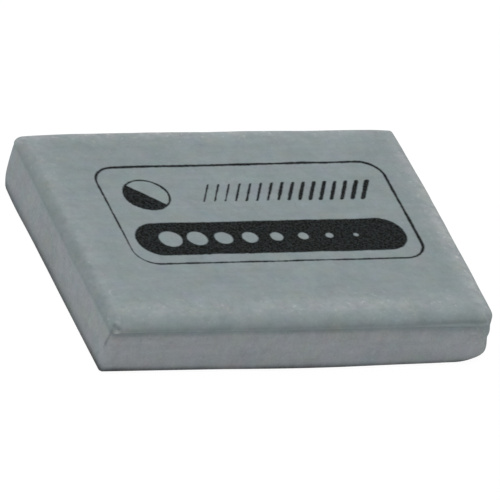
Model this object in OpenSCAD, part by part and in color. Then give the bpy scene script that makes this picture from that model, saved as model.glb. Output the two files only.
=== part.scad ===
// Kneaded eraser: one soft putty block with a rolled top edge over a shallow crease.
// The origin is the middle of the base, X runs along the length and Z points up.
// One edge section is carried along the four sides and turned round the four upright corners.

/* [Block] */
// Length of the block, left to right
block_length = 45.5; // [30:0.5:70]
// Width of the block, front to back
block_width = 34.5; // [22:0.5:50]
// Thickness of the block, base to top face
block_height = 6.6; // [5:0.1:12]
// Radius of the upright corners, seen from above
corner_radius = 1.8; // [1.8:0.1:5]

/* [Rolled top edge] */
// Radius of the roll where the top face turns down into the side
roll_radius = 1.2; // [0.8:0.1:1.4]

/* [Crease] */
// How far the crease lies below the top face
crease_drop = 1.5; // [1.5:0.1:2.6]
// How deep the crease is pressed into the side
crease_depth = 0.2; // [0.1:0.05:0.3]
// Radius of the hollow at the bottom of the crease
crease_radius = 0.3; // [0.2:0.05:0.5]

/* [Side wall] */
// How far the wall's fullest line stands back from the roll above it
wall_setback = 0.05; // [0:0.05:0.3]
// How far the wall swells out between the crease and the base
wall_swell = 0.12; // [0.05:0.01:0.3]

/* [Base] */
// Radius of the edge between the wall and the flat base
base_radius = 0.4; // [0.2:0.1:1]

/* [Hidden] */
$fn = 96;

// The flat core that the edge section is carried round
core_length = block_length - 2 * corner_radius;
core_width = block_width - 2 * corner_radius;

// The roll's centre, and the height at which the wall meets the crease
roll_centre = [corner_radius - roll_radius, block_height - roll_radius];
crease_height = block_height - crease_drop;

// The wall is one long, flat arc: its fullest line is halfway up, and it takes fine steps
wall_steps = 1440;
wall_reach = corner_radius - wall_setback;
wall_arc = (pow(crease_height / 2, 2) + pow(wall_swell, 2)) / (2 * wall_swell);
wall_centre = [wall_reach - wall_arc, crease_height / 2];

// The base edge is a small arc that meets the wall's arc and the base without a corner
base_slope = asin((wall_centre.y - base_radius) / (wall_arc - base_radius));
base_centre = [wall_centre.x + (wall_arc - base_radius) * cos(base_slope), base_radius];
base_meets_wall = [
    wall_centre.x + wall_arc * cos(base_slope),
    wall_centre.y - wall_arc * sin(base_slope)
];

// The roll: the top face bends down through a quarter turn, and ends upright
module roll_section() {
    translate([0, crease_height]) {
        square([roll_centre.x, crease_drop]);
        square([corner_radius, roll_centre.y - crease_height]);
    }
    translate(roll_centre)
        intersection() {
            square(roll_radius);
            circle(roll_radius);
        }
}

// What the rounded base edge takes off the wall's bottom corner
module base_corner() {
    difference() {
        polygon([
            [base_centre.x, 0],
            [corner_radius, 0],
            [corner_radius, base_meets_wall.y],
            base_meets_wall,
            base_centre
        ]);
        translate(base_centre) circle(base_radius);
    }
}

// The wall: a slightly swollen face between the crease and the base
module wall_section() {
    difference() {
        intersection() {
            square([corner_radius, crease_height]);
            translate(wall_centre) circle(wall_arc, $fn = wall_steps);
        }
        base_corner();
    }
}

// The crease: a round-bottomed hollow pressed in between the roll and the wall
module crease_section() {
    translate([corner_radius - crease_depth + crease_radius, crease_height])
        circle(crease_radius);
}

// Section through the block's edge: X runs outwards from the core, Y is height
module edge_section() {
    difference() {
        union() {
            roll_section();
            wall_section();
        }
        crease_section();
    }
}

// A straight side, with its section carried along the given run
module side(run) {
    rotate([90, 0, 0])
        linear_extrude(height = run, center = true)
            edge_section();
}

module eraser_block() {
    color([0.54, 0.57, 0.58])
    union() {
        translate([-core_length / 2, -core_width / 2, 0])
            cube([core_length, core_width, block_height]);
        for (turn = [0, 180]) {
            rotate(turn) translate([core_length / 2, 0, 0]) side(core_width);
            rotate(turn + 90) translate([core_width / 2, 0, 0]) side(core_length);
        }
        for (corner = [[1, 1, 0], [-1, 1, 90], [-1, -1, 180], [1, -1, 270]])
            translate([corner.x * core_length / 2, corner.y * core_width / 2, 0])
                rotate(corner.z)
                    rotate_extrude(angle = 90) edge_section();
    }
}

eraser_block();
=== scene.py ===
import math

import bpy
import numpy as np
from mathutils import Matrix, Vector


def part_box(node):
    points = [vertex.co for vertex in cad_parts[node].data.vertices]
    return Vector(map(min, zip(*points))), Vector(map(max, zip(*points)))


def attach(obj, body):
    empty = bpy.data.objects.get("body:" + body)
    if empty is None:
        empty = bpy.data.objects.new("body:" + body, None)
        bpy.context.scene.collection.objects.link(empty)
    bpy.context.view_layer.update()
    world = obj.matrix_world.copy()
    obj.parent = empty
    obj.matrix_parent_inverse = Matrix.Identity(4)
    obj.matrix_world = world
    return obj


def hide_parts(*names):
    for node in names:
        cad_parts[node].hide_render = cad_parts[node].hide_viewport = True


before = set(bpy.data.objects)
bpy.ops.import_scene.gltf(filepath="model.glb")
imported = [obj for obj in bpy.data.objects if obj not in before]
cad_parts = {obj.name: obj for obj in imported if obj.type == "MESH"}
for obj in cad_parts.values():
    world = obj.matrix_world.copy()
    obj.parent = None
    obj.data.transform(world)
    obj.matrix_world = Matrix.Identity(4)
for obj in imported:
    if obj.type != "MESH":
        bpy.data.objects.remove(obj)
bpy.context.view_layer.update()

# ---------------------------------------------------------------------------
# The camera: a long lens from the front left, looking down on the printed face.
# It is turned about its own axis, so that the front edge lies nearly level in view.
# ---------------------------------------------------------------------------
# Sizes are worked out in millimetres, and Blender takes metres
MM = 0.001
camera_azimuth = math.radians(-29.05)
camera_elevation = math.radians(34.86)
camera_roll = math.radians(16.36)
camera_distance = 1.3314
focal_length_mm = 889.9
# Where the middle of the picture lies, right of and above the middle of the base
aim_right = 0.84 * MM
aim_up = 2.20 * MM

towards_camera = Vector((math.sin(camera_azimuth) * math.cos(camera_elevation),
                         -math.cos(camera_azimuth) * math.cos(camera_elevation),
                         math.sin(camera_elevation)))
level_right = Vector((math.cos(camera_azimuth), math.sin(camera_azimuth), 0))
level_up = towards_camera.cross(level_right)
view_right = level_right * math.cos(camera_roll) + level_up * math.sin(camera_roll)
view_up = level_up * math.cos(camera_roll) - level_right * math.sin(camera_roll)

lens = bpy.data.cameras.new("camera")
lens.lens = focal_length_mm
lens.sensor_width = 36
lens.clip_start = 0.01
lens.clip_end = 100
camera = bpy.data.objects.new("camera", lens)
camera_place = view_right * aim_right + view_up * aim_up + towards_camera * camera_distance
camera_axes = Matrix((view_right, view_up, towards_camera)).transposed()
camera.matrix_world = Matrix.Translation(camera_place) @ camera_axes.to_4x4()
bpy.context.scene.collection.objects.link(camera)
bpy.context.scene.camera = camera

# ---------------------------------------------------------------------------
# The eraser block: one slab of kneadable putty, which is uncured rubber and chalk.
# A blunt blade cut it to size. It dragged the skin of the top face down over each edge in
# a soft roll, and the cut wall under the roll starts at a crease and isn't quite upright.
# ---------------------------------------------------------------------------
block_low, block_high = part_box("eraser_block")
block_height = (block_high.z - block_low.z) / MM

# The outline in mm. Sides run front, right, back, left, and the corners that they start
# from are front left, front right, back right, back left. The lines are how far each side
# stands from the middle, at its roll and at its base, and the bow is added midway along it.
roll_line = np.array([16.88, 22.48, 16.96, 22.50])
base_line = np.array([16.86, 22.46, 16.80, 22.55])
side_bow = np.array([0.12, 0.05, 0.05, 0.06])
# How round the corners are at the roll, on the wall, and at the foot from this height down
roll_corner = np.array([0.7, 2.0, 0.6, 1.2])
wall_corner = np.array([0.5, 1.6, 1.1, 1.5])
foot_corner = np.array([0.5, 4.0, 1.8, 2.4])
foot_corner_height = 1.8
sharpest_corner = 0.12

# The section in mm, for each side: how far the roll reaches in and comes down, how deep and
# how high the crease is, how full the wall is, and how round its foot is
roll_reach = np.array([2.0, 1.7, 1.3, 1.1])
roll_fall = np.array([0.9, 1.0, 1.0, 1.05])
crease_depth = np.array([0.24, 0.22, 0.22, 0.03])
ledge_height = np.array([4.65, 4.8, 4.9, 4.95])
wall_swell = 0.07
foot_radius = np.array([0.38, 0.45, 0.4, 0.35])
# The crease is deepest at this share of the way down the flank, between roll and ledge
crease_share = 0.52
# A second, fainter fold lies above it
second_height = 5.88
second_width = 0.14
# How late the painted shade sets in round each roll, and how soon it ends on the flank, as powers
roll_shade_power = np.array([1.7, 4, 4, 0.5])
flank_shade_power = 6

# Steps of the mesh: half a corner, the length and the width, and those down the section
CORNER_STEPS, LENGTH_STEPS, WIDTH_STEPS = 9, 170, 126
ROLL_STEPS, FLANK_STEPS, WALL_STEPS, FOOT_STEPS = 15, 16, 18, 7
ACROSS = LENGTH_STEPS + 2 * CORNER_STEPS
ALONG = WIDTH_STEPS + 2 * CORNER_STEPS


def section_rings():
    """The section as insets and heights in mm, one row a ring and one column a side.

    The roll is a quarter ellipse. The flank runs from its fullest line to the ledge, the
    wall is half a sine wave, and the foot is a quarter circle. Also returned, from 0 to 1,
    are how far down the flank each ring lies, and how much painted shade of the lower roll
    and the upper flank it takes.
    """
    bend = np.radians(np.linspace(0, 90, ROLL_STEPS + 1))[:, None]
    down = np.linspace(0, 1, FLANK_STEPS + 1)[1:, None]
    rise = np.sin(np.radians(np.linspace(0, 90, WALL_STEPS + 1)))[1:, None]
    tuck = np.radians(np.linspace(0, 90, FOOT_STEPS + 1))[1:, None]
    roll_end = block_height - roll_fall
    insets = (roll_reach * (1 - np.sin(bend)),
              0 * down,
              -wall_swell * np.sin(np.pi * rise),
              foot_radius * (1 - np.cos(tuck)))
    heights = (block_height - roll_fall * (1 - np.cos(bend)),
               roll_end + (ledge_height - roll_end) * down,
               ledge_height + (foot_radius - ledge_height) * rise,
               foot_radius * (1 - np.sin(tuck)))
    ways_down = (0 * bend, down, 1 + 0 * rise, 1 + 0 * tuck)
    painted_shades = (np.sin(bend) ** roll_shade_power, (1 - down) ** flank_shade_power, 0 * rise, 0 * tuck)
    return [np.concatenate([part + np.zeros(4) for part in parts])
            for parts in (insets, heights, ways_down, painted_shades)]


def lap():
    """One lap of the outline, as each point's side, its share of that side and its turn.

    A side runs from the middle of one corner to the middle of the next: half a corner's
    arc, the straight, and half of the next arc. Points lie closer together at its ends.
    """
    bend = np.linspace(-45, 0, CORNER_STEPS, endpoint=False)
    stretches = []
    for number in range(4):
        steps = LENGTH_STEPS if number % 2 == 0 else WIDTH_STEPS
        even = np.linspace(0, 1, steps, endpoint=False)
        eased = 0.4 * even + 0.3 * (1 - np.cos(np.pi * even))
        shares = np.concatenate([np.zeros(CORNER_STEPS), eased, np.ones(CORNER_STEPS)])
        turns = np.concatenate([bend, np.zeros(steps), bend + 45])
        stretches.append((np.full(len(turns), number), shares, np.radians(turns)))
    return [np.concatenate(parts) for parts in zip(*stretches)]


side, share, turn = lap()
facing = np.radians(-90) + side * np.radians(90) + turn


def round_lap(by_side):
    """Carries values for the four sides round the lap.

    Each side has its own along the straight. Round a corner it goes over into the next
    side's by the square of the cosine of the turn.
    """
    neighbour = np.where(turn < 0, side - 1, side + 1) % 4
    own = np.cos(turn) ** 2
    return by_side[..., side] * own + by_side[..., neighbour] * (1 - own)


def outlines(lines, radii):
    """Rounded rectangles, one row each, from their four lines and four corner radii.

    A point is its corner's centre plus the radius in its own direction. Along a straight
    it is the mean of what both corners give, weighted by its share of the way.
    """
    front, right, back, left = [lines[:, i:i + 1] for i in range(4)]
    corner_x = np.hstack([-left, right, right, -left])
    corner_y = np.hstack([-front, -front, back, back])
    inward_x = np.array([1, -1, -1, 1])
    inward_y = np.array([1, 1, -1, -1])
    ends = []
    for number in (side, (side + 1) % 4):
        radius = radii[:, number]
        ends.append((corner_x[:, number] + radius * (inward_x[number] + np.cos(facing)),
                     corner_y[:, number] + radius * (inward_y[number] + np.sin(facing))))
    return [start * (1 - share) + end * share for start, end in zip(*ends)]


def four_sides(ring):
    """Cuts a closed ring into its front, right, back and left side, each with both its ends.

    The long sides run towards +X and the short ones towards +Y.
    """
    closed = np.concatenate([ring, ring[:1]])
    front = closed[:ACROSS + 1]
    right = closed[ACROSS:ACROSS + ALONG + 1]
    back = closed[ACROSS + ALONG:2 * ACROSS + ALONG + 1][::-1]
    left = closed[2 * ACROSS + ALONG:][::-1]
    return front, right, back, left


def filled(ring):
    """A grid of points that fills a closed ring: a Coons patch between its four sides.

    Each point is the blend of the two long sides, plus the blend of the two short ones,
    less the blend of the four corners.
    """
    front, right, back, left = four_sides(ring)
    u = ((front[:, 0] - front[0, 0]) / (front[-1, 0] - front[0, 0]))[:, None]
    v = ((right[:, 1] - right[0, 1]) / (right[-1, 1] - right[0, 1]))[:, None, None]
    long_sides = (1 - v) * front + v * back
    short_sides = (1 - u) * left[:, None] + u * right[:, None]
    corners = ((1 - u) * (1 - v) * front[0] + u * (1 - v) * front[-1]
               + (1 - u) * v * back[0] + u * v * back[-1])
    return long_sides + short_sides - corners


def waves(points, size, seed, count=24):
    """Soft unevenness of about -1 to 1: a sum of plane waves in random directions.

    Each wave has a length near the given size in mm, a random phase and a random height.
    """
    chance = np.random.default_rng(seed)
    direction = chance.normal(size=(count, 3))
    direction /= np.linalg.norm(direction, axis=1, keepdims=True)
    pitch = size * chance.uniform(0.7, 1.6, count)
    phase = chance.uniform(0, 2 * np.pi, count)
    height = chance.uniform(0.5, 1, count)
    angle = points @ (direction * (2 * np.pi / pitch)[:, None]).T + phase
    return np.sin(angle) @ height / np.sqrt(2 * (height ** 2).sum())


def hump(points, centre, size):
    """A smooth hump of height 1 at a centre, falling off as a normal curve of that size."""
    return np.exp(-(((points - np.array(centre)) / np.array(size)) ** 2).sum(-1) / 2)


def humps(points, *rows):
    """The sum of several humps, each given as its height, its centre and its size."""
    return sum(height * hump(points, centre, size) for height, centre, size in rows)


def stroke(points, start, end, count, size):
    """A soft stroke of height 1: humps at even steps from start to end, cut off at 1."""
    return np.minimum(sum(hump(points, centre, size) for centre in np.linspace(start, end, count)), 1)


inset, level, fallen, ring_shade = section_rings()
mean_level = level.mean(1, keepdims=True)
up_wall = np.clip(mean_level / (block_height - roll_fall.mean()), 0, 1)
near_foot = np.clip(1 - mean_level / foot_corner_height, 0, 1) ** 2
ring_lines = base_line * (1 - up_wall) + roll_line * up_wall - inset
ring_radii = wall_corner * (1 - up_wall) + roll_corner * up_wall
ring_radii = ring_radii * (1 - near_foot) + foot_corner * near_foot
# A corner gets sharper by the mean of what its two sides stand in there
ring_radii = np.maximum(ring_radii - (inset + np.roll(inset, 1, axis=1)) / 2, sharpest_corner)
rings = np.stack(outlines(ring_lines, ring_radii) + [round_lap(level)], -1)
RINGS, LAP = rings.shape[:2]

# The crease is a fold, deepest about halfway down the flank, with a soft lip under it. It is
# deeper here and shallower there, and it fades at the front right corner
way_down = round_lap(fallen)
crease = np.where(way_down < crease_share, (way_down / crease_share) ** 2,
                  0.5 + 0.5 * np.cos(np.pi * (way_down - crease_share) / (1 - crease_share)))
depth = round_lap(crease_depth) * (1 + 0.35 * waves(rings, 14, 11))
depth *= 1 - 0.75 * hump(rings, (22.5, -17, 5), (1.8, 2.5, 3))
# The second fold shows most where the front edge sags towards the right
second_fold = 0.02 + 0.16 * hump(rings, (17.5, -17, 5), (3.5, 3, 9))
second_fold *= np.exp(-((rings[..., 2] - second_height) / second_width) ** 2)
crease += second_fold
out = round_lap(side_bow) * 4 * share * (1 - share) - depth * crease
out += humps(
    rings,
    # The front right corner leans out over its foot, which is drawn in, and has a full ledge
    (0.2, (23, -16.5, 1.9), (5, 4, 1.1)),
    (-0.08, (19.5, -17, 0.3), (2, 3, 1.2)),
    (0.18, (22.5, -16, 4.8), (2, 2, 0.4)),
    # The right edge is drawn in just before the back right corner
    (-0.08, (22.5, 15.7, 5.8), (3, 1.3, 2)),
    # The front is fuller at the foot of its middle, and the left side towards the back
    (0.22, (2, -17, 0.5), (6, 3, 3)),
    (0.14, (-22.6, 11.5, 0.5), (3, 3, 2)))
rings[..., 0] += out * np.cos(facing)
rings[..., 1] += out * np.sin(facing)
# The back edge comes forward towards the right, and the right edge goes in towards the back
back_skew = 0.33
right_skew = 0.13
rings[..., 1] -= back_skew * np.clip(rings[..., 1] / 17, 0, 1) * (rings[..., 0] / 45 + 0.5)
rings[..., 0] -= right_skew * np.clip(rings[..., 0] / 22, 0, 1) * np.clip(rings[..., 1] / 17, 0, 1)
# The crease wanders a little, and the ledge sinks towards the front right corner
rings[..., 2] += 0.08 * waves(rings, 11, 12) * crease
sink = humps(rings, (0.58, (20, -17, 5), (6, 3, 9)), (0.85, (23, -15, 5), (1.8, 2.5, 9)))
rings[..., 2] -= sink * np.minimum(way_down, round_lap(level / ledge_height))

# The top face and the base fill the first ring and the last
sheets = []
for ring, height in ((rings[0], block_height), (rings[-1], 0.0)):
    inside = filled(ring[:, :2])[1:-1, 1:-1].reshape(-1, 2)
    sheets.append(np.column_stack([inside, np.full(len(inside), height)]))
SHEET_POINTS = len(sheets[0])
places = np.concatenate([rings.reshape(-1, 3)] + sheets)

# The top face falls away towards its edges: how wide each shoulder is, how far it drops, and
# the height from which the block takes part. It falls furthest at the back left corner, and
# a little just before the back right one
shoulder_width = np.array([5.2, 3.5, 2.6, 3.2])
shoulder_drop = np.array([0.2, 0.2, 0.14, 0.08])
shoulder_foot = 5
above = np.clip((places[:, 2] - shoulder_foot) / (block_height - shoulder_foot), 0, 1)
from_edges = np.stack([places[:, 1] + roll_line[0], roll_line[1] - places[:, 0],
                       roll_line[2] - places[:, 1], places[:, 0] + roll_line[3]], 1)
fall = (shoulder_drop * np.clip(1 - from_edges / shoulder_width, 0, 1) ** 2).sum(1)
fall += humps(places, (0.33, (-22.5, 17, 6.6), (2.8, 2.8, 9)), (0.04, (21, 17, 6.6), (1.2, 3, 9)))
places[:, 2] -= fall * above


def sheet_faces(ring, first):
    """The faces of a filled ring: its points are the rim, and those from first lie inside."""
    grid = np.empty((ALONG + 1, ACROSS + 1), int)
    grid[1:-1, 1:-1] = first + np.arange(SHEET_POINTS).reshape(ALONG - 1, ACROSS - 1)
    grid[0], grid[:, -1], grid[-1], grid[:, 0] = four_sides(ring)
    return np.stack([grid[:-1, :-1], grid[:-1, 1:], grid[1:, 1:], grid[1:, :-1]], -1)


numbers = np.arange(RINGS * LAP).reshape(RINGS, LAP)
following = np.roll(numbers, -1, axis=1)
side_faces = np.stack([numbers[:-1], numbers[1:], following[1:], following[:-1]], -1)
top_faces = sheet_faces(numbers[0], RINGS * LAP)
base_faces = sheet_faces(numbers[-1], RINGS * LAP + SHEET_POINTS)[..., ::-1]
faces = np.concatenate([part.reshape(-1, 4) for part in (side_faces, top_faces, base_faces)])

mesh = bpy.data.meshes.new("putty_block")
mesh.from_pydata((places * MM).tolist(), [], faces.tolist())
mesh.update()
mesh.shade_smooth()

# Unevenness from the hand and the blade, which fades out over the lowest part above the flat
# base. The front left corner was nicked, which left a hollow with a lip above and below it
even_below = 0.6
normals = np.empty(len(mesh.vertices) * 3, np.float32)
mesh.vertex_normals.foreach_get("vector", normals)
normals = normals.reshape(-1, 3)
nick = stroke(places, (-22.1, -16.4, 6.1), (-21.55, -16.75, 5.85), 4, (0.16, 0.16, 0.14))
lips = humps(places, (1, (-21.6, -16.2, 6.4), (0.2, 0.2, 0.2)),
             (1, (-21.75, -16.85, 5.5), (0.25, 0.2, 0.18)))
uneven = 0.035 * waves(places, 9, 3) + 0.012 * waves(places, 2.5, 5)
uneven += 0.08 * lips - 0.18 * nick
places += normals * (uneven * np.clip(places[:, 2] / even_below, 0, 1))[:, None]
places[:, 2] = np.clip(places[:, 2], 0, None) * block_height / places[:, 2].max()
mesh.vertices.foreach_set("co", (places * MM).astype(np.float32).ravel())
mesh.update()

# Where the blade cut: the wall and the flank's end, from one share of the way down it to
# another, less so at the back and the left, and the base a little
cut_by_side = np.array([1.0, 1.0, 0.8, 0.8])
base_cut = 0.4
cut_from = 0.6
cut_full = 0.9
ring_cut = np.clip((fallen - cut_from) / (cut_full - cut_from), 0, 1)
cut_mask = np.concatenate([round_lap(ring_cut * cut_by_side).ravel(),
                           np.zeros(SHEET_POINTS), np.full(SHEET_POINTS, base_cut)])

# Painted shade: on the lower part of each roll and the top of its flank, along the foot as a
# painted contact shadow, in the crease and in the second fold. At the foot it is full up to a
# height in mm, and then thins out over its reach. The crease's is thickest a little above the ledge
shade_by_side = np.array([1.1, 0.6, 0.6, 0.8])
foot_shade = np.array([2.4, 2.0, 1.8, 2.6])
foot_reach = np.array([0.36, 0.45, 0.45, 0.68])
foot_full_height = 0.3
crease_shade = np.array([0.6, 0.4, 0.3, 0.1])
above_ledge = 0.35
crease_reach = 0.45
ring_foot = np.exp(-(np.clip(level - foot_full_height, 0, None) / foot_reach) ** 2)
ring_crease = np.exp(-((level - ledge_height - above_ledge) / crease_reach) ** 2)
# The front roll holds more of it at the right end, and less just before that
roll_shade_share = 1 + humps(rings, (0.3, (20, -17, 5.5), (2.5, 3, 3)),
                       (-0.35, (13, -17, 5.5), (3, 3, 3)))
lap_shade = (round_lap(ring_shade * shade_by_side) * roll_shade_share
             + round_lap(ring_foot * foot_shade) * (1 + 0.2 * waves(rings, 9, 14))
             + round_lap(ring_crease * crease_shade) + second_fold)
lap_shade += humps(
    rings,
    # Towards the front right corner, painted shade: a line on the ledge, a lighter strip over it
    # and a line in the second fold, and then the corner's own edge and foot
    (0.5, (18.5, -17, 4.9), (3, 3, 0.16)),
    (-0.5, (17.5, -17, 5.35), (3, 3, 0.2)),
    (0.35, (17.5, -17, 5.8), (3, 3, 0.15)),
    (1.5, (22.4, -16.0, 2.2), (0.4, 0.5, 1.5)),
    (1.2, (21.0, -16.0, 0.3), (1.6, 1.2, 0.5)),
    # The front's foot has a deeper painted shadow near the left corner and near the middle
    (1.2, (-20.2, -17, 0.35), (2.5, 3, 0.34)),
    (0.8, (-0.5, -17, 0.35), (4, 3, 0.34)))
shade_mask = np.concatenate([lap_shade.ravel(), np.zeros(2 * SHEET_POINTS)])
# Painted shade in the nick's hollow and in the split, a dark line that runs from it down the front
# left corner
split_shade = stroke(places, (-22.4, -16.75, 5.4), (-22.65, -16.45, 3.6), 6, (0.13, 0.13, 0.2))
shade_mask += 0.9 * nick + 1.6 * split_shade
# Darker patches: painted shade on the left side, low down and on its roll, and a patch on the top
# towards the back left
shade_mask += humps(places, (0.35, (-22.5, -2, 1.1), (3, 5, 0.9)),
                    (0.55, (-22.1, -5, 6.3), (0.5, 8, 0.35)), (0.35, (-15, 14, 6.6), (6, 3.5, 3)))

# Painted highlight: a pale, uneven band behind each edge of the top, right at the edge at the
# right and the back, most of all right of the front's middle, on the lips of the nick, and on
# the front wall near its right end
highlight_at = np.array([2.5, 0.0, 0.0, 1.3])
highlight_width = np.array([1.6, 1.8, 1.8, 1.5])
highlight_amount = np.array([0.7, 2.5, 2.2, 0.5])
highlight_mask = (highlight_amount * np.exp(-((from_edges - highlight_at) / highlight_width) ** 2)).max(1)
highlight_mask *= 1 + 0.7 * hump(places, (5, -13.7, 6.5), (6, 2.5, 9)) + 0.25 * waves(places, 5, 17)
highlight_mask = highlight_mask * above + 2.2 * lips
highlight_mask += 0.5 * hump(places, (20.5, -17, 2.6), (2.5, 1.5, 1.5))
for name, values in (("cut", cut_mask), ("painted_shade", shade_mask), ("painted_highlight", highlight_mask)):
    layer = mesh.attributes.new(name, "FLOAT", "POINT")
    layer.data.foreach_set("value", values.astype(np.float32))

# The block's own map, in shares of its width: the printed face takes most of it, the
# sides lie over it in two strips, and the base is turned and stands beside it
MAP_GAP, STRIP_HEIGHT, BASE_DROP = 0.008, 0.12, 0.26
TOP_SCALE, SIDE_SCALE, BASE_SCALE = 0.0176, 0.0121, 0.0051
HALF_LENGTH, HALF_WIDTH = 22.75, 17.3
sides_end = len(side_faces) * LAP
top_end = sides_end + ACROSS * ALONG
corner_places = places[faces]
mapped = np.empty((len(faces), 4, 2))
top_places = corner_places[sides_end:top_end, :, :2]
mapped[sides_end:top_end] = MAP_GAP + (top_places + (HALF_LENGTH, HALF_WIDTH)) * TOP_SCALE
base_places = corner_places[top_end:]
mapped[top_end:, :, 0] = 1 - MAP_GAP - (base_places[..., 1] + HALF_WIDTH) * BASE_SCALE
mapped[top_end:, :, 1] = 1 - BASE_DROP - MAP_GAP - (base_places[..., 0] + HALF_LENGTH) * BASE_SCALE


def run_along(points):
    """How far each point lies along a line, in mm: the sum of the steps that lead to it."""
    return np.append(0, np.cumsum(np.linalg.norm(np.diff(points, axis=0), axis=1)))


along_lap = run_along(np.append(rings[RINGS // 2], rings[RINGS // 2][:1], axis=0))
down_section = run_along(rings[:, LAP // 8])
column = np.arange(LAP)[None, :, None] + np.array([0, 0, 1, 1])
row = np.arange(RINGS - 1)[:, None, None] + np.array([0, 1, 1, 0])
strip = (np.arange(LAP) >= LAP // 2)[None, :, None]
strip_x = MAP_GAP + (along_lap[column] - strip * along_lap[LAP // 2]) * SIDE_SCALE
strip_y = 1 - MAP_GAP - strip * STRIP_HEIGHT - down_section[row] * SIDE_SCALE
mapped[:sides_end, :, 0] = (strip_x + 0 * row).reshape(-1, 4)
mapped[:sides_end, :, 1] = (strip_y + 0 * column).reshape(-1, 4)
mesh.uv_layers.new(name="OFBake").uv.foreach_set("vector", mapped.astype(np.float32).ravel())

block = bpy.data.objects.new("putty_block", mesh)
bpy.context.scene.collection.objects.link(block)
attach(block, "root")
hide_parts("eraser_block")


def linear(hex_colour):
    """An sRGB hex colour as linear values, with an alpha of one.

    The sRGB curve is a straight line near black, and a power of 2.4 above it.
    """
    parts = [int(hex_colour[i:i + 2], 16) / 255 for i in (1, 3, 5)]
    return [part / 12.92 if part <= 0.04045 else ((part + 0.055) / 1.055) ** 2.4
            for part in parts] + [1]


def add(into, kind, inputs, **settings):
    """Adds a node with its settings, feeds its inputs by name or number, gives its output."""
    made = into.nodes.new(kind)
    for setting, value in settings.items():
        setattr(made, setting, value)
    for key, value in inputs.items():
        socket = made.inputs[key] if isinstance(key, int) else next(
            one for one in made.inputs if one.name == key and one.enabled)
        if isinstance(value, bpy.types.NodeSocket):
            into.links.new(value, socket)
        else:
            socket.default_value = value
    return next(one for one in made.outputs if one.enabled)


# Kneadable putty: uncured synthetic rubber with chalk and a grey-blue pigment. It is matte
# and a little cloudy, with pale chalk specks. Painted shade darkens it along its rolls, creases
# and foot, and painted highlight pales it behind its edges.
putty = bpy.data.materials.new("kneadable_putty_rubber")
putty.use_nodes = True
tree = putty.node_tree
shader = tree.nodes["Principled BSDF"]
mesh.materials.append(putty)
metres = add(tree, "ShaderNodeTexCoord", {}).node.outputs["Object"]
place = add(tree, "ShaderNodeVectorMath", {0: metres, "Scale": 1 / MM}, operation="SCALE")
cut = add(tree, "ShaderNodeAttribute", {}, attribute_name="cut").node.outputs["Fac"]
painted_shade = add(tree, "ShaderNodeAttribute", {}, attribute_name="painted_shade").node.outputs["Fac"]
painted_highlight = add(tree, "ShaderNodeAttribute", {}, attribute_name="painted_highlight").node.outputs["Fac"]

# Noise by the size of its patches in mm: clouds of pigment and of its hue, blotches,
# streaks that the press left along the skin, marks that the blade left down the cut, and
# chalk grains and flecks, drawn coarser than the 0.05 mm that they really measure
cloud = add(tree, "ShaderNodeTexNoise", {"Vector": place, "Scale": 1 / 3.5, "Detail": 3})
tints = add(tree, "ShaderNodeTexNoise", {"Vector": place, "Scale": 1 / 2.2, "Detail": 2})
blotch = add(tree, "ShaderNodeTexNoise",
             {"Vector": place, "Scale": 1 / 0.9, "Detail": 2, "Distortion": 0.6})
along_skin = add(tree, "ShaderNodeMapping", {"Vector": place, "Scale": (0.2, 1.6, 1.6)})
streak = add(tree, "ShaderNodeTexNoise", {"Vector": along_skin, "Scale": 1.0, "Detail": 4})
down_cut = add(tree, "ShaderNodeMapping", {"Vector": place, "Scale": (1.1, 1.1, 0.4)})
drag = add(tree, "ShaderNodeTexNoise", {"Vector": down_cut, "Scale": 1.0, "Detail": 4})
grain = add(tree, "ShaderNodeTexNoise", {"Vector": place, "Scale": 1 / 0.25, "Detail": 2})
fleck = add(tree, "ShaderNodeTexNoise", {"Vector": place, "Scale": 1 / 0.45, "Detail": 1})

# The cut is a little redder than the skin, and the hue shifts by a few hundredths
colour = add(tree, "ShaderNodeMix",
             {"Factor": cut, "A": linear("#8a9496"), "B": linear("#92979a")}, data_type="RGBA")
hue = add(tree, "ShaderNodeVectorMath",
          {0: tints.node.outputs["Color"], 1: (0.22, 0.1, 0.2), 2: (0.89, 0.95, 0.9)},
          operation="MULTIPLY_ADD")
colour = add(tree, "ShaderNodeVectorMath", {0: colour, 1: hue}, operation="MULTIPLY")

# Drag marks lie on the cut only, and press streaks show where the skin has no painted shade
on_cut = add(tree, "ShaderNodeMath", {0: drag, 1: 0.5}, operation="SUBTRACT")
on_cut = add(tree, "ShaderNodeMath", {0: on_cut, 1: cut}, operation="MULTIPLY")
unshaded = add(tree, "ShaderNodeMath", {0: 1.0, 1: painted_shade}, operation="SUBTRACT", use_clamp=True)
on_skin = add(tree, "ShaderNodeMath", {0: streak, 1: 0.5}, operation="SUBTRACT")
on_skin = add(tree, "ShaderNodeMath", {0: on_skin, 1: unshaded}, operation="MULTIPLY")
chalk = add(tree, "ShaderNodeMapRange", {"Value": fleck, "From Min": 0.66, "From Max": 0.72})
soot = add(tree, "ShaderNodeMapRange", {"Value": fleck, "From Min": 0.32, "From Max": 0.24})
# The grains show half as strongly on the skin, which the press smoothed, as on the cut
open_grain = add(tree, "ShaderNodeMath", {0: cut, 1: 0.5, 2: 0.5}, operation="MULTIPLY_ADD")
grit = add(tree, "ShaderNodeMath", {0: grain, 1: 0.5}, operation="SUBTRACT")
grit = add(tree, "ShaderNodeMath", {0: grit, 1: open_grain}, operation="MULTIPLY")
# The clouds and blotches lie about one half, which the tone starts lower to make up for
cloud_amount = 0.22
blotch_amount = 0.18
tone = 1.01 - 0.5 * (cloud_amount + blotch_amount)
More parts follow.
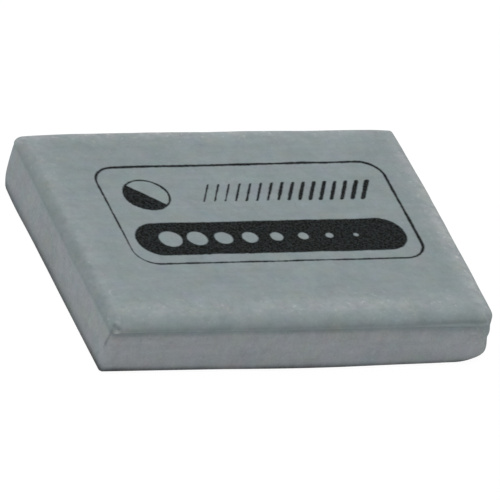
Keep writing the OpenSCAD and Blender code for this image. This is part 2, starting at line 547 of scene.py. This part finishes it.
# The painted shade takes up to a fifth off the tone, by its mask
for mask, amount in ((cloud, cloud_amount), (blotch, blotch_amount), (grit, 0.26),
                     (on_skin, 0.18), (on_cut, 0.16), (painted_shade, -0.2), (chalk, 0.06), (soot, -0.04)):
    tone = add(tree, "ShaderNodeMath", {0: mask, 1: amount, 2: tone}, operation="MULTIPLY_ADD")
colour = add(tree, "ShaderNodeVectorMath", {0: colour, "Scale": tone}, operation="SCALE")

# Painted highlight: a pale, uneven, slightly warm colour mixed in, with brighter grains
highlight_paint = add(tree, "ShaderNodeMapRange", {"Value": blotch, "From Min": 0.3, "From Max": 0.7,
                                         "To Min": 0.06, "To Max": 0.15})
highlight_paint = add(tree, "ShaderNodeMath", {0: chalk, 1: 0.15, 2: highlight_paint}, operation="MULTIPLY_ADD")
highlight_paint = add(tree, "ShaderNodeMath", {0: painted_highlight, 1: highlight_paint}, operation="MULTIPLY")
colour = add(tree, "ShaderNodeMix", {"Factor": highlight_paint, "A": colour, "B": linear("#dad8d7")},
             data_type="RGBA")

# The print: one pass of black ink from a soft stamp, whose frame came out heavier at the
# back and at the right. Its places are in mm from the middle of the block, turned a little
stamp_turn = math.radians(-0.3)
flat = add(tree, "ShaderNodeMapping",
           {"Vector": place, "Rotation": (0, 0, stamp_turn), "Scale": (1, 1, 0)})


def rounded(low, high, radius):
    """Distance in mm from a rounded rectangle's edge, below zero inside it.

    It is the length of what sticks out past an inner rectangle, less the corner radius.
    """
    middle = [(low[i] + high[i]) / 2 for i in range(2)] + [0]
    reach = [(high[i] - low[i]) / 2 - radius for i in range(2)] + [0]
    off = add(tree, "ShaderNodeVectorMath", {0: flat, 1: middle}, operation="SUBTRACT")
    off = add(tree, "ShaderNodeVectorMath", {0: off}, operation="ABSOLUTE")
    off = add(tree, "ShaderNodeVectorMath", {0: off, 1: reach}, operation="SUBTRACT")
    off = add(tree, "ShaderNodeVectorMath", {0: off, 1: (0, 0, 0)}, operation="MAXIMUM")
    off = add(tree, "ShaderNodeVectorMath", {0: off}, operation="LENGTH")
    return add(tree, "ShaderNodeMath", {0: off, 1: radius}, operation="SUBTRACT")


def disc(middle, radius):
    """Distance in mm from a circle's edge: a rounded rectangle that is all corners."""
    return rounded([at - radius for at in middle], [at + radius for at in middle], radius)


def but_not(shape, hole):
    """What is left of a shape outside a hole: the greater of one distance and minus the other."""
    outside = add(tree, "ShaderNodeMath", {0: hole, 1: -1}, operation="MULTIPLY")
    return add(tree, "ShaderNodeMath", {0: shape, 1: outside}, operation="MAXIMUM")


def row_of(start, pitch, count, slant, first, last, reach):
    """A row of upright strokes with round ends, or of dots where they have no reach.

    The plane is leaned over by the slant and folded into cells of one pitch. The stroke in
    each cell is a rounded line, and its half width goes evenly from first to last.
    """
    lean = add(tree, "ShaderNodeVectorMath", {0: flat, 1: (1, -slant, 0)}, operation="DOT_PRODUCT")
    lean = add(tree, "ShaderNodeMath", {0: lean, 1: start[0] - start[1] * slant},
               operation="SUBTRACT")
    steps = add(tree, "ShaderNodeMath", {0: lean, 1: pitch}, operation="DIVIDE")
    cell = add(tree, "ShaderNodeMath", {0: steps}, operation="ROUND")
    cell = add(tree, "ShaderNodeClamp", {"Value": cell, "Min": 0, "Max": count - 1})
    aside = add(tree, "ShaderNodeMath", {0: steps, 1: cell}, operation="SUBTRACT")
    aside = add(tree, "ShaderNodeMath", {0: aside, 1: pitch}, operation="MULTIPLY")
    beyond = add(tree, "ShaderNodeVectorMath", {0: flat, 1: (0, 1, 0)}, operation="DOT_PRODUCT")
    beyond = add(tree, "ShaderNodeMath", {0: beyond, 1: start[1]}, operation="SUBTRACT")
    beyond = add(tree, "ShaderNodeMath", {0: beyond}, operation="ABSOLUTE")
    beyond = add(tree, "ShaderNodeMath", {0: beyond, 1: reach}, operation="SUBTRACT")
    beyond = add(tree, "ShaderNodeMath", {0: beyond, 1: 0}, operation="MAXIMUM")
    off = add(tree, "ShaderNodeCombineXYZ", {"X": aside, "Y": beyond})
    off = add(tree, "ShaderNodeVectorMath", {0: off}, operation="LENGTH")
    half_width = add(tree, "ShaderNodeMath", {0: cell, 1: (last - first) / (count - 1), 2: first},
                     operation="MULTIPLY_ADD")
    return add(tree, "ShaderNodeMath", {0: off, 1: half_width}, operation="SUBTRACT")


# A frame, a bar with a tone scale of dots left open, hatching from thin to thick, and a sign
# for light and shade, which is a thin circle with its lower left half inked
frame_line = but_not(rounded((-16.07, -6.86), (18.15, 10.33), 2.8),
                     rounded((-15.85, -6.6), (17.81, 9.96), 2.5))
tone_dots = row_of((-10.9, -2.51), pitch=3.1, count=8, slant=0, first=1.3, last=0.3, reach=0)
bar = but_not(rounded((-14.94, -5.31), (16.71, 0.29), 2.8), tone_dots)
hatching = row_of((-4.0, 5.3), pitch=1.25, count=16, slant=0.5, first=0.1, last=0.27, reach=1.4)
sign_middle = (-11.0, 5.2)
sign_disc = disc(sign_middle, 2.7)
sign_line = but_not(sign_disc, disc(sign_middle, 2.45))
# The inked half is the side of a slanted line, where it lies inside the circle
shade = add(tree, "ShaderNodeVectorMath", {0: flat, 1: (0.7, 0.7, 0)}, operation="DOT_PRODUCT")
shade = add(tree, "ShaderNodeMath", {0: shade, 1: 0.7 * sum(sign_middle)}, operation="SUBTRACT")
shade = add(tree, "ShaderNodeMath", {0: shade, 1: sign_disc}, operation="MAXIMUM")
# The whole print's edge is as far off as the nearest of its shapes
print_edge = frame_line
for shape in (bar, hatching, sign_line, shade):
    print_edge = add(tree, "ShaderNodeMath", {0: print_edge, 1: shape}, operation="MINIMUM")
# The edge wanders by a few hundredths of a mm, and the putty shows through here and there
print_edge = add(tree, "ShaderNodeMath", {0: fleck, 1: 0.12, 2: print_edge},
                 operation="MULTIPLY_ADD")
print_edge = add(tree, "ShaderNodeMath", {0: cloud, 1: 0.25, 2: print_edge},
                 operation="MULTIPLY_ADD")
ink = add(tree, "ShaderNodeMapRange", {"Value": print_edge, "From Min": 0.28, "From Max": 0.09})
cover = add(tree, "ShaderNodeMapRange", {"Value": grain, "From Min": 0.35, "From Max": 0.65,
                                         "To Min": 1.0, "To Max": 0.91})
ink = add(tree, "ShaderNodeMath", {0: ink, 1: cover}, operation="MULTIPLY")
upright = add(tree, "ShaderNodeSeparateXYZ", {"Vector": place}).node.outputs["Z"]
on_top = add(tree, "ShaderNodeMath", {0: upright, 1: block_height - 1}, operation="GREATER_THAN")
ink = add(tree, "ShaderNodeMath", {0: ink, 1: on_top}, operation="MULTIPLY")
colour = add(tree, "ShaderNodeMix", {"Factor": ink, "A": colour, "B": linear("#020302")},
             data_type="RGBA")
tree.links.new(colour, shader.inputs["Base Color"])

# Uncured rubber has an IOR near 1.52. The skin is satin, the cut and the ink are drier.
# The chalk at the surface breaks up most of the mirror-like part.
shader.inputs["IOR"].default_value = 1.52
shader.inputs["Specular IOR Level"].default_value = 0.05
rough = 0.52
for mask, amount in ((cut, 0.14), (ink, 0.1), (grain, 0.12), (painted_highlight, 0.05)):
    rough = add(tree, "ShaderNodeMath", {0: mask, 1: amount, 2: rough}, operation="MULTIPLY_ADD")
tree.links.new(rough, shader.inputs["Roughness"])

# Relief in mm: fine grain all over, faint ridges along the skin, drag marks down the cut
relief = 0.0
for mask, amount in ((grain, 0.02), (blotch, 0.03), (on_skin, 0.02), (on_cut, 0.06),
                     (chalk, 0.01), (soot, -0.02)):
    relief = add(tree, "ShaderNodeMath", {0: mask, 1: amount, 2: relief}, operation="MULTIPLY_ADD")
bump = add(tree, "ShaderNodeBump", {"Height": relief, "Strength": 1.0, "Distance": MM})
tree.links.new(bump, shader.inputs["Normal"])

# ---------------------------------------------------------------------------
# The table and the light: a white sheet under a large soft lamp, in a white room. The sheet
# lies just under the base, and has a window in it, smaller than the block, so that the base
# can be looked at from below.
# ---------------------------------------------------------------------------
sheet_reach = 2
sheet_drop = 0.02 * MM
window_share = 0.8
sheet = bpy.data.meshes.new("table_sheet")
rims = [(x * reach_x, y * reach_y, -sheet_drop)
        for reach_x, reach_y in ((sheet_reach, sheet_reach),
                                 (window_share * block_high.x, window_share * block_high.y))
        for x, y in ((-1, -1), (1, -1), (1, 1), (-1, 1))]
sheet.from_pydata(rims, [], [(i, (i + 1) % 4, (i + 1) % 4 + 4, i + 4) for i in range(4)])
table = bpy.data.objects.new("table_sheet", sheet)
bpy.context.scene.collection.objects.link(table)


def looked_at(into):
    """One where the camera, a mirror or a glass looks, and nought for light that only falls."""
    ray = add(into, "ShaderNodeLightPath", {}).node.outputs
    direct = add(into, "ShaderNodeMath", {0: ray["Is Camera Ray"], 1: ray["Is Glossy Ray"]},
                 operation="MAXIMUM")
    return add(into, "ShaderNodeMath", {0: direct, 1: ray["Is Transmission Ray"]},
               operation="MAXIMUM")


# White paper, matte. Nine tenths of what the camera sees of it is plain white, and the last
# tenth is lit, so that it takes the block's shadow.
seen_white = 0.9
paper = bpy.data.materials.new("white_paper_sheet")
paper.use_nodes = True
paper_tree = paper.node_tree
paper_shader = paper_tree.nodes["Principled BSDF"]
paper_shader.inputs["Base Color"].default_value = linear("#e0e0e0")
paper_shader.inputs["Roughness"].default_value = 0.9
paper_shader.inputs["Specular IOR Level"].default_value = 0.0
plain = add(paper_tree, "ShaderNodeMath", {0: looked_at(paper_tree), 1: seen_white},
            operation="MULTIPLY")
white = add(paper_tree, "ShaderNodeEmission", {"Color": (1, 1, 1, 1), "Strength": 1.06})
both = add(paper_tree, "ShaderNodeMixShader",
           {0: plain, 1: paper_shader.outputs["BSDF"], 2: white})
paper_tree.links.new(both, paper_tree.nodes["Material Output"].inputs["Surface"])
sheet.materials.append(paper)

# The room looks white, and lights the block a little less than white would
room_light = 0.81
world = bpy.data.worlds.new("white_room")
bpy.context.scene.world = world
world.use_nodes = True
room_tree = world.node_tree
room = add(room_tree, "ShaderNodeMix",
           {"Factor": looked_at(room_tree), "A": room_light, "B": 1.0})
room_tree.links.new(room, room_tree.nodes["Background"].inputs["Strength"])
room_tree.nodes["Background"].inputs["Color"].default_value = (1, 1, 1, 1)

lamp = bpy.data.lights.new("softbox", "AREA")
lamp.shape = "RECTANGLE"
lamp.size = 0.5
lamp.size_y = 0.4
lamp.energy = 0.75
softbox = bpy.data.objects.new("softbox", lamp)
softbox.location = (-0.3, 0.2, 0.5)
softbox.rotation_mode = "QUATERNION"
softbox.rotation_quaternion = softbox.location.to_track_quat("Z", "Y")
softbox.visible_camera = False
bpy.context.scene.collection.objects.link(softbox)

bpy.context.scene.view_settings.view_transform = "Standard"
